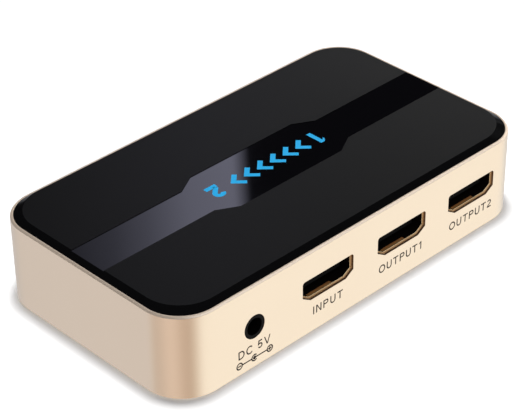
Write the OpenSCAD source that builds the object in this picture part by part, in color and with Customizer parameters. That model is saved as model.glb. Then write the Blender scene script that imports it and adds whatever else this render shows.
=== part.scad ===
// Video splitter box: a metal tub with a black top panel, a bottom cover, and a board
// with one power jack and three video sockets behind the front wall.
// Millimetres, +Z up. The origin is the middle of the footprint on the surface it stands on,
// and the sockets face -Y.

/* [Case] */
// Width of the metal case, left to right
case_w = 105; // [96:0.5:125]
// Depth of the metal case, front to back
case_d = 58; // [56:0.5:75]
// Height of the metal wall, from its lower edge to the rim
wall_h = 20.2; // [19.5:0.1:26]
// Thickness of the wall
wall_t = 1; // [0.8:0.1:1.4]
// Radius of the four upright corners
corner_r = 9.7; // [9:0.1:11.5]
// Thickness of the deck under the top panel
deck_t = 1.2; // [0.8:0.1:1.8]
// Width of the rim that shows round the top panel
rim_w = 0.7; // [0.5:0.05:0.9]
// Chamfer on the outer edge of the rim
rim_chamfer = 0.35; // [0.1:0.05:0.45]

/* [Top panel] */
// Depth to which the panel sinks below the rim
panel_seat = 1; // [0.5:0.1:1.4]
// Height of the panel above the rim
panel_rise = 1; // [0.5:0.05:1.5]
// Width of the bevel round the panel, seen from above
panel_bevel = 1.25; // [0.5:0.05:2]
// Gap between the panel and the rim
panel_gap = 0.1; // [0.05:0.05:0.2]
// Thickness of the adhesive under the panel
tape_t = 0.2; // [0.1:0.05:0.4]
// Width of the adhesive ring
tape_w = 4; // [2:0.5:8]
// Width of the polished band at its ends
band_w = 10.1; // [6:0.1:14]
// Width of the polished band at its middle
band_mid_w = 15.6; // [15:0.1:24]
// Length of the wide middle stretch of the band
band_mid_l = 30.4; // [20:0.1:50]
// Length of each slanted step of the band
band_step_l = 5; // [2:0.1:8]
// Depth of the polished band below the satin field
band_sink = 0.1; // [0.05:0.05:0.2]

/* [Bottom cover] */
// Thickness of the bottom cover
cover_t = 2; // [1.8:0.1:2.6]
// Gap between the bottom cover and the wall
cover_gap = 0.15; // [0.1:0.05:0.3]

/* [Feet] */
// Radius of a rubber foot
foot_r = 4; // [3:0.1:5]
// Height by which the feet stand proud of the wall's lower edge
foot_proud = 0.3; // [0.2:0.05:1.5]
// Depth of the pocket that holds a foot
foot_pocket = 0.5; // [0.3:0.05:1]
// Gap round a foot in its pocket
foot_gap = 0.1; // [0.05:0.05:0.2]
// Distance of a foot's middle from the case's sides
foot_inset = 14; // [12.5:0.5:17]

/* [Screws] */
// Radius of a screw's shank
screw_r = 1.25; // [1:0.05:1.4]
// Gap round a shank in its hole
screw_gap = 0.05; // [0.03:0.01:0.1]
// Radius of a screw head
head_r = 2.3; // [2:0.05:2.5]
// Height of a cover screw's countersunk head
sunk_h = 1.2; // [1:0.05:1.5]
// Height of a board screw's pan head
pan_h = 1.5; // [1:0.1:1.8]
// Length of a cover screw's shank above its head
cover_screw_l = 5; // [3:0.5:8]
// Length of a board screw's shank above the board
board_screw_l = 4; // [2:0.5:6]
// Width of a screw's cross slot
slot_w = 0.5; // [0.3:0.05:0.6]
// Length of a screw's cross slot
slot_l = 3; // [2:0.1:3.4]
// Radius of a corner boss in the tub
boss_r = 3.4; // [3.2:0.1:3.8]
// Depth to which a corner boss is sunk into the corner of the wall
boss_sink = 0.8; // [0.4:0.1:1]
// Radius of a board post under the deck
post_r = 2.8; // [2.5:0.1:3.2]

/* [Board] */
// Gap between the board's sides and the corner bosses
board_side_gap = 0.7; // [0.4:0.1:1.5]
// Gap between the board's rear edge and the rear wall
board_rear_gap = 4.8; // [4:0.1:8]
// Thickness of the circuit board
board_t = 1.6; // [1:0.1:2]
// Gap between the board's front edge and the front wall
board_gap = 1.2; // [0.8:0.1:1.5]
// Distance of a board post from the board's side and rear edges
post_inset = 4; // [3.6:0.1:5]
// Distance of the front posts from the board's front edge
post_front = 18; // [17:0.5:22]

/* [Video sockets] */
// Distance of the last socket's middle from the right side of the case
socket_end = 18.15; // [17.8:0.05:20]
// Distance of the first socket's middle from the power jack's
jack_to_socket = 21.25; // [16:0.05:24]
// Height of the sockets' middle above the wall's lower edge
socket_h = 10.89; // [10.5:0.01:11.2]
// Width of a socket's metal shell
shell_w = 14.7; // [14.4:0.05:15]
// Height of a socket's metal shell
shell_h = 5; // [4.8:0.05:5.4]
// Height of the shell's upright sides
shell_side = 3.65; // [3.4:0.05:3.8]
// Width of the shell's narrow lower face
shell_low_w = 10.4; // [9.6:0.1:11]
// Length of the shell, front to back
shell_l = 12.4; // [11.4:0.1:13]
// Thickness of the shell's sheet
sheet_t = 0.3; // [0.2:0.05:0.35]
// Radius of the shell's upper corners, outside
shell_r = 0.5; // [0.5:0.05:0.7]
// Depth of a shell's mouth behind the wall's face
shell_back = 0.3; // [0.2:0.05:0.6]
// Gap between a cut-out in the wall and the shell's outline
cut_gap = 0.15; // [0.1:0.05:0.3]
// Gap between the insulator and the shell
core_gap = 0.05; // [0.03:0.01:0.1]
// Width of the tongue that carries the contacts
tongue_w = 11; // [10.6:0.1:11.6]
// Thickness of the tongue
tongue_t = 1.3; // [1:0.1:1.5]
// Depth of the tongue's tip behind the mouth
tongue_back = 1.8; // [1:0.1:2.5]
// Depth of the insulator's block behind the mouth
block_back = 7.4; // [6.4:0.1:9]
// Number of contacts on the upper face of the tongue, one less lies below
contact_count = 10; // [6:1:10]
// Distance between neighbouring contacts in one row
contact_pitch = 1; // [0.8:0.05:1.1]
// Width of a contact
contact_w = 0.3; // [0.2:0.05:0.35]
// Thickness of a contact
contact_t = 0.15; // [0.1:0.05:0.25]

/* [Power jack] */
// Distance of the power jack's middle from the left side of the case
jack_end = 20.5; // [19:0.1:24]
// Height of the jack's axis above the wall's lower edge
jack_h = 10.06; // [9.8:0.02:10.6]
// Radius of the jack's round nose
nose_r = 2.7; // [2.4:0.05:3]
// Gap round the nose in the wall
nose_gap = 0.1; // [0.05:0.05:0.2]
// Radius of the jack's bore
bore_r = 2; // [1.8:0.05:2.1]
// Radius of the centre pin
pin_r = 0.65; // [0.5:0.05:0.85]
// Depth of the pin's tip behind the nose
pin_back = 2.6; // [2:0.1:3.5]
// Width of the jack's body
jack_w = 8; // [7.6:0.1:8.6]
// Height of the jack's body
jack_body_h = 6.2; // [6:0.1:6.4]
// Gap between the jack's body and the wall
jack_gap = 0.2; // [0.1:0.05:0.4]
// Length of the jack's body behind the wall
jack_l = 11; // [10.5:0.1:12]
// Thickness of the jack's rear wall
jack_rear = 1.4; // [1:0.1:1.8]
// Gap between the jack's body and the edges of the board's notch
notch_gap = 0.25; // [0.15:0.05:0.4]
// Thickness of the spring arm and its terminal
spring_t = 0.25; // [0.15:0.05:0.3]
// Width of the spring arm
spring_w = 1; // [0.8:0.1:1.2]
// Length of the spring arm from its root to its tip
spring_l = 5.4; // [4.5:0.1:6]
// Reach of the spring arm's bump into the plug's path
spring_bite = 0.2; // [0.1:0.05:0.3]

/* [Parts on the board] */
// Width of the splitter chip
chip_w = 14; // [10:0.5:16]
// Height of the splitter chip
chip_h = 1.4; // [1:0.1:1.8]
// Thickness of the pad between the chip and its heat sink
pad_t = 0.5; // [0.2:0.1:0.8]
// Width of the heat sink
sink_w = 22; // [18:0.5:24]
// Height of the heat sink
sink_h = 6.4; // [4:0.1:6.6]
// Thickness of the heat sink's base
sink_base = 2; // [1.2:0.1:3]
// Number of fins
fin_count = 7; // [4:1:9]
// Thickness of a fin
fin_t = 1; // [0.6:0.1:1.4]
// Radius of a capacitor can
can_r = 3.15; // [2.5:0.05:3.5]
// Height of a capacitor can
can_h = 7.2; // [5:0.1:7.8]
// Height of the memory chip
memory_h = 1.5; // [0.8:0.1:1.8]
// Length of the crystal can
crystal_l = 11.5; // [8:0.1:12]
// Width of the crystal can
crystal_w = 4.7; // [3:0.1:5]
// Height of the crystal can
crystal_h = 3.5; // [2:0.1:4]
// Width of the inductor
inductor_w = 6; // [4:0.1:6.5]
// Height of the inductor
inductor_h = 3; // [2:0.1:4.5]
// Radius of a light pipe
pipe_r = 1.4; // [1:0.1:1.8]
// Gap round a light pipe in the deck
pipe_gap = 0.1; // [0.05:0.05:0.2]
// Distance from one light pipe to the next
pipe_pitch = 5; // [4.6:0.1:5.5]

/* [Hidden] */
$fn = 64;
// Overrun of a cut past the face that it opens
cut_over = 1;

// Heights above the surface that the feet stand on
base_z = foot_proud;
cover_top = base_z + cover_t;
rim_z = base_z + wall_h;
panel_z = rim_z - panel_seat;
pocket_z = panel_z - tape_t;
deck_z = pocket_z - deck_t;
socket_z = base_z + socket_h;
jack_z = base_z + jack_h;
board_top = socket_z - shell_h / 2;
board_z = board_top - board_t;

// Places front to back
front_y = -case_d / 2;
wall_y = front_y + wall_t;
mouth_y = front_y + shell_back;
board_y = wall_y + board_gap;
board_back = case_d / 2 - wall_t - board_rear_gap;
board_d = board_back - board_y;
jack_y = wall_y + jack_gap;
jack_back = jack_y + jack_l;

// Places left to right
jack_x = jack_end - case_w / 2;
socket_x = jack_x + jack_to_socket;
socket_pitch = (case_w / 2 - socket_end - socket_x) / 2;

// Outlines that fit in each other
panel_inset = rim_w + panel_gap;
panel_w = case_w - 2 * panel_inset;
panel_d = case_d - 2 * panel_inset;
panel_r = corner_r - panel_inset;
cover_inset = wall_t + cover_gap;
boss_inset = corner_r - (corner_r - wall_t - boss_r + boss_sink) * sin(45);
boss_x = case_w / 2 - boss_inset;
boss_y = case_d / 2 - boss_inset;
board_w = 2 * (boss_x - boss_r - board_side_gap);
foot_x = case_w / 2 - foot_inset;
foot_y = case_d / 2 - foot_inset;
post_x = board_w / 2 - post_inset;
post_ys = [board_y + post_front, board_back - post_inset];
hole_r = screw_r + screw_gap;

// Socket contacts
tongue_lift = 0.1;
tongue_z = socket_z + tongue_lift;
tail_gap = 0.4;
tail_l = 0.9;
tail_t = 0.2;
contact_lead = 0.3;
slot_gap = 0.05;
leg_w = 0.9;
leg_gap = 0.2;
leg_depths = [3.5, 10.3];
finger_x = 3;
finger_w = 1.8;
finger_l = 4.5;
finger_back = 2.9;
finger_slit = 0.4;

// Power jack, measured from its axis and from the nose's face
nose_back = 0.05;
nose_y = front_y + nose_back;
wing_w = 1.6;
wing_t = 1;
wing_l = 7;
rear_in = jack_back - jack_rear;
channel_wall = 0.7;
channel_w = jack_w / 2 - channel_wall;
channel_gap = 0.25;
channel_h = spring_w + 2 * channel_gap;
plug_gap = 0.25;
plug_r = bore_r - plug_gap;
root_back = 0.2;
root_y = rear_in - root_back;
root_out = 0.5;
root_x = jack_x - bore_r - root_out;
root_gap = 0.12;
bump_share = 0.55;
terminal_back = 0.8;
terminal_y = jack_back + terminal_back;
terminal_leg = 1.2;
terminal_gap = 0.2;

// Sizes of small parts on the board
memory_l = 5;
memory_w = 4;
regulator_l = 6.5;
regulator_w = 3.5;
regulator_h = 1.7;
tab_l = 3;
tab_w = 2;
tab_h = 0.4;
core_r = inductor_w / 3;
core_sink = 0.4;
can_foot = 0.3;
can_foot_h = 0.8;
array_l = 2.5;
array_w = 1.2;
array_h = 0.6;
array_x = 2.4;
array_back = 3.4;
ceramic_l = 1.6;
ceramic_w = 0.8;
ceramic_count = 8;
ceramic_pitch = 3;
ceramic_row = 2.5;
ceramic_back = 2;
led_l = 1.6;
led_w = 0.8;
led_h = 0.6;
pipe_lift = 0.3;
collar_w = 0.7;
collar_r = pipe_r + collar_w;
collar_t = 1;

// Places on the board: the middle of each part, from the board's sides and its front or rear edge,
// with the chip midway between the crystal and the first light pipe
board_left = -board_w / 2;
board_right = board_w / 2;
can_side = 9.5;
can_pitch = 7.5;
can_back = 14.2;
inductor_side = 15;
regulator_side = 23;
supply_front = 17.8;
crystal_side = 30;
crystal_back = 20.2;
memory_back = 11.2;
chip_back = 21.2;
pipe_side = 6;
cans_at = [for (i = [0, 1]) [board_left + can_side + i * can_pitch, board_back - can_back]];
inductor_at = [board_left + inductor_side, board_y + supply_front];
regulator_at = [board_left + regulator_side, board_y + supply_front];
crystal_at = [board_left + crystal_side, board_back - crystal_back];
memory_at = [crystal_at[0], board_back - memory_back];
pipes_at = [for (i = [0 : 2]) [board_right - pipe_side - (2 - i) * pipe_pitch, 0]];
chip_at = [(crystal_at[0] + crystal_l / 2 + pipes_at[0][0] - collar_r) / 2, board_back - chip_back];

// Flat outline of a socket, drawn in from the shell's outer face by t, with round upper corners
module socket_face(t) {
    run = (shell_w - shell_low_w) / 2;
    drop = shell_h - shell_side;
    slant = sqrt(run * run + drop * drop);
    side_x = shell_w / 2 - t;
    side_z = shell_h / 2 - shell_side + t * run / slant - t * (slant - drop) / run * drop / slant;
    low_x = shell_low_w / 2 - t * drop / slant + t * (slant - run) / drop * run / slant;
    top_z = shell_h / 2 - t;
    r = shell_r - t;
    polygon([
        [-side_x, top_z - r], [-side_x, side_z], [-low_x, -top_z],
        [low_x, -top_z], [side_x, side_z], [side_x, top_z - r],
    ]);
    translate([0, top_z - r]) square([2 * (side_x - r), 2 * r], center = true);
    for (s = [-1, 1]) translate([s * (side_x - r), top_z - r]) circle(r = r);
}

// Flat outline of a rectangle with round corners
module round_rect(w, d, r) {
    square([w - 2 * r, d], center = true);
    square([w, d - 2 * r], center = true);
    for (sx = [-1, 1], sy = [-1, 1])
        translate([sx * (w / 2 - r), sy * (d / 2 - r)]) circle(r = r);
}

// Upright slab with round corners
module round_slab(w, d, r, h) {
    linear_extrude(h) round_rect(w, d, r);
}

// Slab with round corners whose sides lean in by inset over its height
module tapered_slab(w, d, r, h, inset) {
    for (sx = [-1, 1], sy = [-1, 1])
        translate([sx * (w / 2 - r), sy * (d / 2 - r), 0]) cylinder(h = h, r1 = r, r2 = r - inset);
    rotate([90, 0, 90]) linear_extrude(w - 2 * r, center = true) trapezium(d, h, inset);
    rotate([90, 0, 0]) linear_extrude(d - 2 * r, center = true) trapezium(w, h, inset);
}

// Upright slab with round corners and a bevelled upper edge, inset wide and drop high
module bevelled_slab(w, d, r, h, inset, drop) {
    grow = inset * (h - drop) / drop;
    intersection() {
        round_slab(w, d, r, h);
        tapered_slab(w + 2 * grow, d + 2 * grow, r + grow, h, inset + grow);
    }
}

// Trapezium that stands on its wide side and leans in by inset at each end
module trapezium(w, h, inset) {
    polygon([[-w / 2, 0], [w / 2, 0], [w / 2 - inset, h], [-w / 2 + inset, h]]);
}

// Slot with round ends, along X
module stadium(l, w) {
    square([l - w, w], center = true);
    for (s = [-1, 1]) translate([s * (l - w) / 2, 0]) circle(d = w);
}

// The four places that mirror each other about the middle of the case
module at_corners(x, y) {
    for (sx = [-1, 1], sy = [-1, 1]) translate([sx * x, sy * y, 0]) children();
}

// The four places of the board posts
module at_posts() {
    for (sx = [-1, 1], y = post_ys) translate([sx * post_x, y, 0]) children();
}

// A box that stands on z, with its middle at x and y
module block(x, y, z, l, w, h) {
    translate([x - l / 2, y - w / 2, z]) cube([l, w, h]);
}

// The same, with its middle given as a pair
module block_at(at, z, l, w, h) {
    block(at[0], at[1], z, l, w, h);
}

// Prism of a socket's outline, from y to y + l, for socket number i
module socket_prism(i, t, y, l) {
    translate([socket_x + i * socket_pitch, y + l, socket_z]) rotate([90, 0, 0])
        linear_extrude(l) socket_face(t);
}

// Round bar along Y about the jack's axis
module jack_round(r, y, l) {
    translate([jack_x, y, jack_z]) rotate([-90, 0, 0]) cylinder(h = l, r = r);
}

// Metal tub, open below: wall, deck, corner bosses, board posts and the cut-outs of the front wall
module housing() {
    color("burlywood") difference() {
        union() {
            difference() {
                translate([0, 0, base_z])
                    bevelled_slab(case_w, case_d, corner_r, wall_h, rim_chamfer, rim_chamfer);
                translate([0, 0, base_z - cut_over])
                    round_slab(case_w - 2 * wall_t, case_d - 2 * wall_t, corner_r - wall_t,
                        deck_z - base_z + cut_over);
            }
            at_corners(boss_x, boss_y) translate([0, 0, cover_top])
                cylinder(h = deck_z - cover_top + deck_t / 2, r = boss_r);
            at_posts() translate([0, 0, board_top])
                cylinder(h = deck_z - board_top + deck_t / 2, r = post_r);
        }
        translate([0, 0, pocket_z])
            round_slab(case_w - 2 * rim_w, case_d - 2 * rim_w, corner_r - rim_w,
                panel_seat + tape_t + cut_over);
        at_corners(boss_x, boss_y) translate([0, 0, cover_top - cut_over])
            cylinder(h = cover_screw_l + 2 * cut_over, r = hole_r);
        at_posts() translate([0, 0, board_top - cut_over])
            cylinder(h = board_screw_l + 2 * cut_over, r = hole_r);
        for (i = [0 : 2]) socket_prism(i, -cut_gap, front_y - cut_over, wall_t + 2 * cut_over);
        jack_round(nose_r + nose_gap, front_y - cut_over, wall_t + 2 * cut_over);
        for (at = pipes_at) translate([at[0], at[1], deck_z - cut_over])
            cylinder(h = deck_t + 2 * cut_over, r = pipe_r + pipe_gap);
    }
}

// Black panel with a bevelled edge, and a polished band along its middle
module top_panel() {
    color([0.11, 0.11, 0.12]) difference() {
        translate([0, 0, panel_z])
            bevelled_slab(panel_w, panel_d, panel_r, panel_seat + panel_rise, panel_bevel, panel_rise);
        translate([0, 0, rim_z + panel_rise - band_sink])
            linear_extrude(band_sink + cut_over) band_outline();
    }
}

// Outline of the polished band, widened at its middle by slanted steps
module band_outline() {
    step_x = band_mid_l / 2;
    end_x = step_x + band_step_l;
    square([case_w, band_w], center = true);
    polygon([
        [-end_x, band_w / 2], [-step_x, band_mid_w / 2], [step_x, band_mid_w / 2], [end_x, band_w / 2],
        [end_x, -band_w / 2], [step_x, -band_mid_w / 2], [-step_x, -band_mid_w / 2], [-end_x, -band_w / 2],
    ]);
}

// Adhesive ring that holds the panel in its pocket
module panel_tape() {
    color("dimgray") translate([0, 0, pocket_z]) difference() {
        round_slab(panel_w, panel_d, panel_r, tape_t);
        translate([0, 0, -cut_over])
            round_slab(panel_w - 2 * tape_w, panel_d - 2 * tape_w, panel_r - tape_w, tape_t + 2 * cut_over);
    }
}

// Cover that closes the tub from below, with foot pockets and countersunk screw holes
module bottom_cover() {
    color([0.15, 0.15, 0.16]) difference() {
        translate([0, 0, base_z])
            round_slab(case_w - 2 * cover_inset, case_d - 2 * cover_inset, corner_r - cover_inset, cover_t);
        at_corners(foot_x, foot_y) translate([0, 0, base_z - cut_over])
            cylinder(h = foot_pocket + cut_over, r = foot_r + foot_gap);
        at_corners(boss_x, boss_y) {
            translate([0, 0, base_z - cut_over]) cylinder(h = cover_t + 2 * cut_over, r = hole_r);
            translate([0, 0, base_z])
                cylinder(h = sunk_h + screw_gap, r1 = head_r + screw_gap, r2 = hole_r);
        }
    }
}

// Rubber feet that sit in the cover's pockets
module rubber_feet() {
    color([0.08, 0.08, 0.08]) at_corners(foot_x, foot_y) cylinder(h = foot_proud + foot_pocket, r = foot_r);
}

// Crossed slots of a screw's drive, cut h deep from below
module drive_slots(h) {
    for (a = [0, 90]) rotate(a) block(0, 0, -cut_over, slot_l, slot_w, h + cut_over);
}

// Countersunk screws that hold the cover to the corner bosses
module cover_screws() {
    color("silver") at_corners(boss_x, boss_y) translate([0, 0, base_z + screw_gap]) difference() {
        union() {
            cylinder(h = sunk_h, r1 = head_r, r2 = screw_r);
            cylinder(h = cover_t + cover_screw_l, r = screw_r);
        }
        drive_slots(sunk_h / 2);
    }
}

// Circuit board with a notch for the jack, and holes for screws, shell legs and jack tails
module main_board() {
    color("darkgreen") difference() {
        translate([-board_w / 2, board_y, board_z]) cube([board_w, board_d, board_t]);
        at_posts() translate([0, 0, board_z - cut_over]) cylinder(h = board_t + 2 * cut_over, r = hole_r);
        translate([jack_x - jack_w / 2 - notch_gap, board_y - cut_over, board_z - cut_over])
            cube([jack_w + 2 * notch_gap, jack_back + notch_gap - board_y + cut_over,
                board_t + 2 * cut_over]);
        for (i = [0 : 2]) shell_legs(i, leg_gap, cut_over);
        for (x = [jack_x, root_x])
            block(x, terminal_y + spring_t / 2, board_z - cut_over, spring_w + 2 * terminal_gap,
                spring_t + 2 * terminal_gap, board_t + 2 * cut_over);
    }
}

// Pan head screws that hold the board up against the posts
module board_screws() {
    color("silver") at_posts() translate([0, 0, board_z - pan_h]) difference() {
        union() {
            cylinder(h = pan_h, r = head_r);
            cylinder(h = pan_h + board_t + board_screw_l, r = screw_r);
        }
        drive_slots(pan_h / 2);
    }
}

// Legs of a socket's shell that stand in the board, grown by grow on each side and by over in length
module shell_legs(i, grow, over) {
    low_z = board_z - over;
    for (s = [-1, 1], y = leg_depths)
        block(socket_x + i * socket_pitch + s * (shell_w - sheet_t) / 2, mouth_y + y, low_z,
            sheet_t + 2 * grow, leg_w + 2 * grow, socket_z - low_z);
}

// Folded metal shell of a socket, with two spring fingers in its roof and four legs
module socket_shell(i) {
    color("goldenrod") difference() {
        union() {
            socket_prism(i, 0, mouth_y, shell_l);
            shell_legs(i, 0, 0);
        }
        socket_prism(i, sheet_t, mouth_y - cut_over, shell_l + 2 * cut_over);
        for (s = [-1, 1]) finger_slits(socket_x + i * socket_pitch + s * finger_x);
    }
}

// Slits on three sides of one spring finger
module finger_slits(x) {
    slit_z = socket_z + shell_h / 2 - sheet_t - cut_over / 2;
    slit_h = sheet_t + cut_over;
    for (s = [-1, 1])
        block(x + s * (finger_w + finger_slit) / 2, mouth_y + finger_back + finger_l / 2, slit_z,
            finger_slit, finger_l, slit_h);
    block(x, mouth_y + finger_back + finger_slit / 2, slit_z,
        finger_w + 2 * finger_slit, finger_slit, slit_h);
}

// Black insulator of a socket: a block that fills the shell's rear, and the tongue in front of it
module socket_insulator(i) {
    color([0.1, 0.1, 0.1]) difference() {
        union() {
            socket_prism(i, sheet_t + core_gap, mouth_y + block_back, shell_l - block_back);
            block(socket_x + i * socket_pitch, mouth_y + (tongue_back + shell_l) / 2, tongue_z - tongue_t / 2,
                tongue_w, shell_l - tongue_back, tongue_t);
        }
        for (x = contact_xs(i, 0))
            block(x, mouth_y + (block_back + shell_l + cut_over) / 2, tongue_z + tongue_t / 2,
                contact_w + 2 * slot_gap, shell_l - block_back + cut_over, contact_t + slot_gap);
        for (x = contact_xs(i, 1))
            block(x, mouth_y + (block_back + shell_l + cut_over) / 2,
                tongue_z - tongue_t / 2 - contact_t - slot_gap,
                contact_w + 2 * slot_gap, shell_l - block_back + cut_over, contact_t + slot_gap);
    }
}

// Places of the contacts along X, in the upper row (0) or the lower row (1) of socket number i
function contact_xs(i, row) = [
    for (k = [0 : contact_count - 1 - row])
        socket_x + i * socket_pitch + (k - (contact_count - 1 - row) / 2) * contact_pitch
];

// Contacts of a socket: strips along the tongue, with tails bent down to the board behind the shell
module socket_contacts(i) {
    strip_y = mouth_y + tongue_back + contact_lead;
    tail_y = mouth_y + shell_l + tail_gap;
    color("gold") for (row = [0, 1], x = contact_xs(i, row)) {
        strip_z = row == 0 ? tongue_z + tongue_t / 2 : tongue_z - tongue_t / 2 - contact_t;
        translate([x - contact_w / 2, 0, 0]) rotate([90, 0, 90]) linear_extrude(contact_w) polygon([
            [strip_y, strip_z], [tail_y - tail_t, strip_z], [tail_y - tail_t, board_top],
            [tail_y + tail_l, board_top], [tail_y + tail_l, board_top + contact_t],
            [tail_y, board_top + contact_t], [tail_y, strip_z + contact_t], [strip_y, strip_z + contact_t],
        ]);
    }
}

module input_shell() { socket_shell(0); }
module input_insulator() { socket_insulator(0); }
module input_contacts() { socket_contacts(0); }
module output1_shell() { socket_shell(1); }
module output1_insulator() { socket_insulator(1); }
module output1_contacts() { socket_contacts(1); }
module output2_shell() { socket_shell(2); }
module output2_insulator() { socket_insulator(2); }
module output2_contacts() { socket_contacts(2); }

// Moulded body of the power jack: a block in the board's notch, wings on the board and a round nose
module jack_body() {
    color([0.1, 0.1, 0.1]) difference() {
        union() {
            block(jack_x, jack_y + jack_l / 2, jack_z - jack_body_h / 2, jack_w, jack_l, jack_body_h);
            block(jack_x, jack_y + jack_l / 2, board_top, jack_w + 2 * wing_w, wing_l, wing_t);
            jack_round(nose_r, nose_y, jack_y - nose_y + cut_over);
        }
        jack_round(bore_r, nose_y - cut_over, rear_in - nose_y + cut_over);
        jack_round(pin_r + slot_gap, rear_in - cut_over, jack_rear + 2 * cut_over);
        block(jack_x - channel_w / 2, (root_y - spring_l - spring_w + rear_in) / 2, jack_z - channel_h / 2,
            channel_w, rear_in - root_y + spring_l + spring_w, channel_h);
        block(root_x, rear_in, jack_z - spring_w / 2 - slot_gap, spring_t + 2 * slot_gap,
            2 * (jack_rear + cut_over), spring_w + 2 * slot_gap);
    }
}

// Centre pin of the jack, with its tail bent down into the board
module jack_pin() {
    color("silver") {
        jack_round(pin_r, nose_y + pin_back, terminal_y + spring_t - nose_y - pin_back);
        block(jack_x, terminal_y + spring_t / 2, board_z - terminal_leg, spring_w, spring_t,
            jack_z - board_z + terminal_leg);
    }
}

// Fixed root of the jack's spring contact, with its tail bent down into the board
module jack_terminal() {
    color("silver") {
        block(root_x, (root_y + root_gap + terminal_y + spring_t) / 2, jack_z - spring_w / 2, spring_t,
            terminal_y + spring_t - root_y - root_gap, spring_w);
        block(root_x, terminal_y + spring_t / 2, board_z - terminal_leg, spring_w, spring_t,
            jack_z + spring_w / 2 - board_z + terminal_leg);
    }
}

// Spring arm of the jack: bent in to a bump that presses on the plug, and flared out at its tip
module jack_spring() {
    bump_x = jack_x - plug_r + spring_bite;
    bump_y = root_y - spring_l * bump_share;
    tip_x = root_x;
    tip_y = root_y - spring_l;
    color("silver") translate([0, 0, jack_z - spring_w / 2]) linear_extrude(spring_w) polygon([
        [root_x - spring_t / 2, root_y], [bump_x - spring_t, bump_y], [tip_x - spring_t / 2, tip_y],
        [tip_x + spring_t / 2, tip_y], [bump_x, bump_y], [root_x + spring_t / 2, root_y],
    ]);
}

// Square chip that copies the input to both outputs
module splitter_chip() {
    color([0.12, 0.12, 0.12]) block_at(chip_at, board_top, chip_w, chip_w, chip_h);
}

// Soft pad that carries heat from the chip to its heat sink
module thermal_pad() {
    color("lightsteelblue") block_at(chip_at, board_top + chip_h, chip_w, chip_w, pad_t);
}

// Finned heat sink on the pad
module heat_sink() {
    sink_z = board_top + chip_h + pad_t;
    fin_pitch = (sink_w - fin_t) / (fin_count - 1);
    color("gray") {
        block_at(chip_at, sink_z, sink_w, sink_w, sink_base);
        for (k = [0 : fin_count - 1])
            block_at(chip_at + [k * fin_pitch - (sink_w - fin_t) / 2, 0], sink_z, fin_t, sink_w, sink_h);
    }
}

// Small memory chip with its start-up settings
module memory_chip() {
    color([0.12, 0.12, 0.12]) block_at(memory_at, board_top, memory_l, memory_w, memory_h);
}

// Crystal can that times the chip
module crystal() {
    color("silver") translate([crystal_at[0], crystal_at[1], board_top])
        linear_extrude(crystal_h) stadium(crystal_l, crystal_w);
}

// Regulator that brings the supply down to the chip's voltage, with its cooling tab behind it
module regulator() {
    color([0.12, 0.12, 0.12]) {
        block_at(regulator_at, board_top, regulator_l, regulator_w, regulator_h);
        block_at(regulator_at + [0, (regulator_w + tab_w) / 2 - tab_h], board_top, tab_l, tab_w, tab_h);
    }
}

// Shielded inductor of the power stage, with a round hollow over its core
module inductor() {
    color("dimgray") difference() {
        block_at(inductor_at, board_top, inductor_w, inductor_w, inductor_h);
        translate([inductor_at[0], inductor_at[1], board_top + inductor_h - core_sink])
            cylinder(h = core_sink + cut_over, r = core_r);
    }
}

// Capacitor cans that steady the supply, each on a square foot
module capacitors() {
    color("silver") for (at = cans_at) {
        translate([at[0], at[1], board_top]) cylinder(h = can_h, r = can_r);
        block_at(at, board_top, 2 * can_r + can_foot, 2 * can_r + can_foot, can_foot_h);
    }
}

// Arrays behind each socket that catch surges from the cables
module surge_arrays() {
    color([0.15, 0.15, 0.15]) for (i = [0 : 2], s = [-1, 1])
        block(socket_x + i * socket_pitch + s * array_x, mouth_y + shell_l + array_back, board_top,
            array_l, array_w, array_h);
}

// Small ceramic capacitors in two rows behind the chip
module chip_capacitors() {
    color("tan") for (k = [0 : ceramic_count - 1], row = [0, 1])
        block_at(chip_at + [(k - (ceramic_count - 1) / 2) * ceramic_pitch,
            sink_w / 2 + ceramic_back + row * ceramic_row], board_top, ceramic_l, ceramic_w, ceramic_w);
}

// Status lamps on the board, under the light pipes
module status_leds() {
    color("ivory") for (at = pipes_at) block_at(at, board_top, led_l, led_w, led_h);
}

// Clear pipes that lead the lamps' light to the band of the panel, with collars under the deck
module light_pipes() {
    pipe_z = board_top + led_h + pipe_lift;
    color([0.85, 0.9, 0.95]) for (at = pipes_at) {
        translate([at[0], at[1], pipe_z]) cylinder(h = pocket_z - pipe_z, r = pipe_r);
        translate([at[0], at[1], deck_z - collar_t]) cylinder(h = collar_t, r = collar_r);
    }
}

housing();
top_panel();
panel_tape();
bottom_cover();
rubber_feet();
cover_screws();
main_board();
board_screws();
input_shell();
input_insulator();
input_contacts();
output1_shell();
output1_insulator();
output1_contacts();
output2_shell();
output2_insulator();
output2_contacts();
jack_body();
jack_pin();
jack_terminal();
jack_spring();
splitter_chip();
thermal_pad();
heat_sink();
memory_chip();
crystal();
regulator();
inductor();
capacitors();
surge_arrays();
chip_capacitors();
status_leds();
light_pipes();
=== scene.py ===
import math

import bmesh
import bpy
from mathutils import Matrix, Vector


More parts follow.
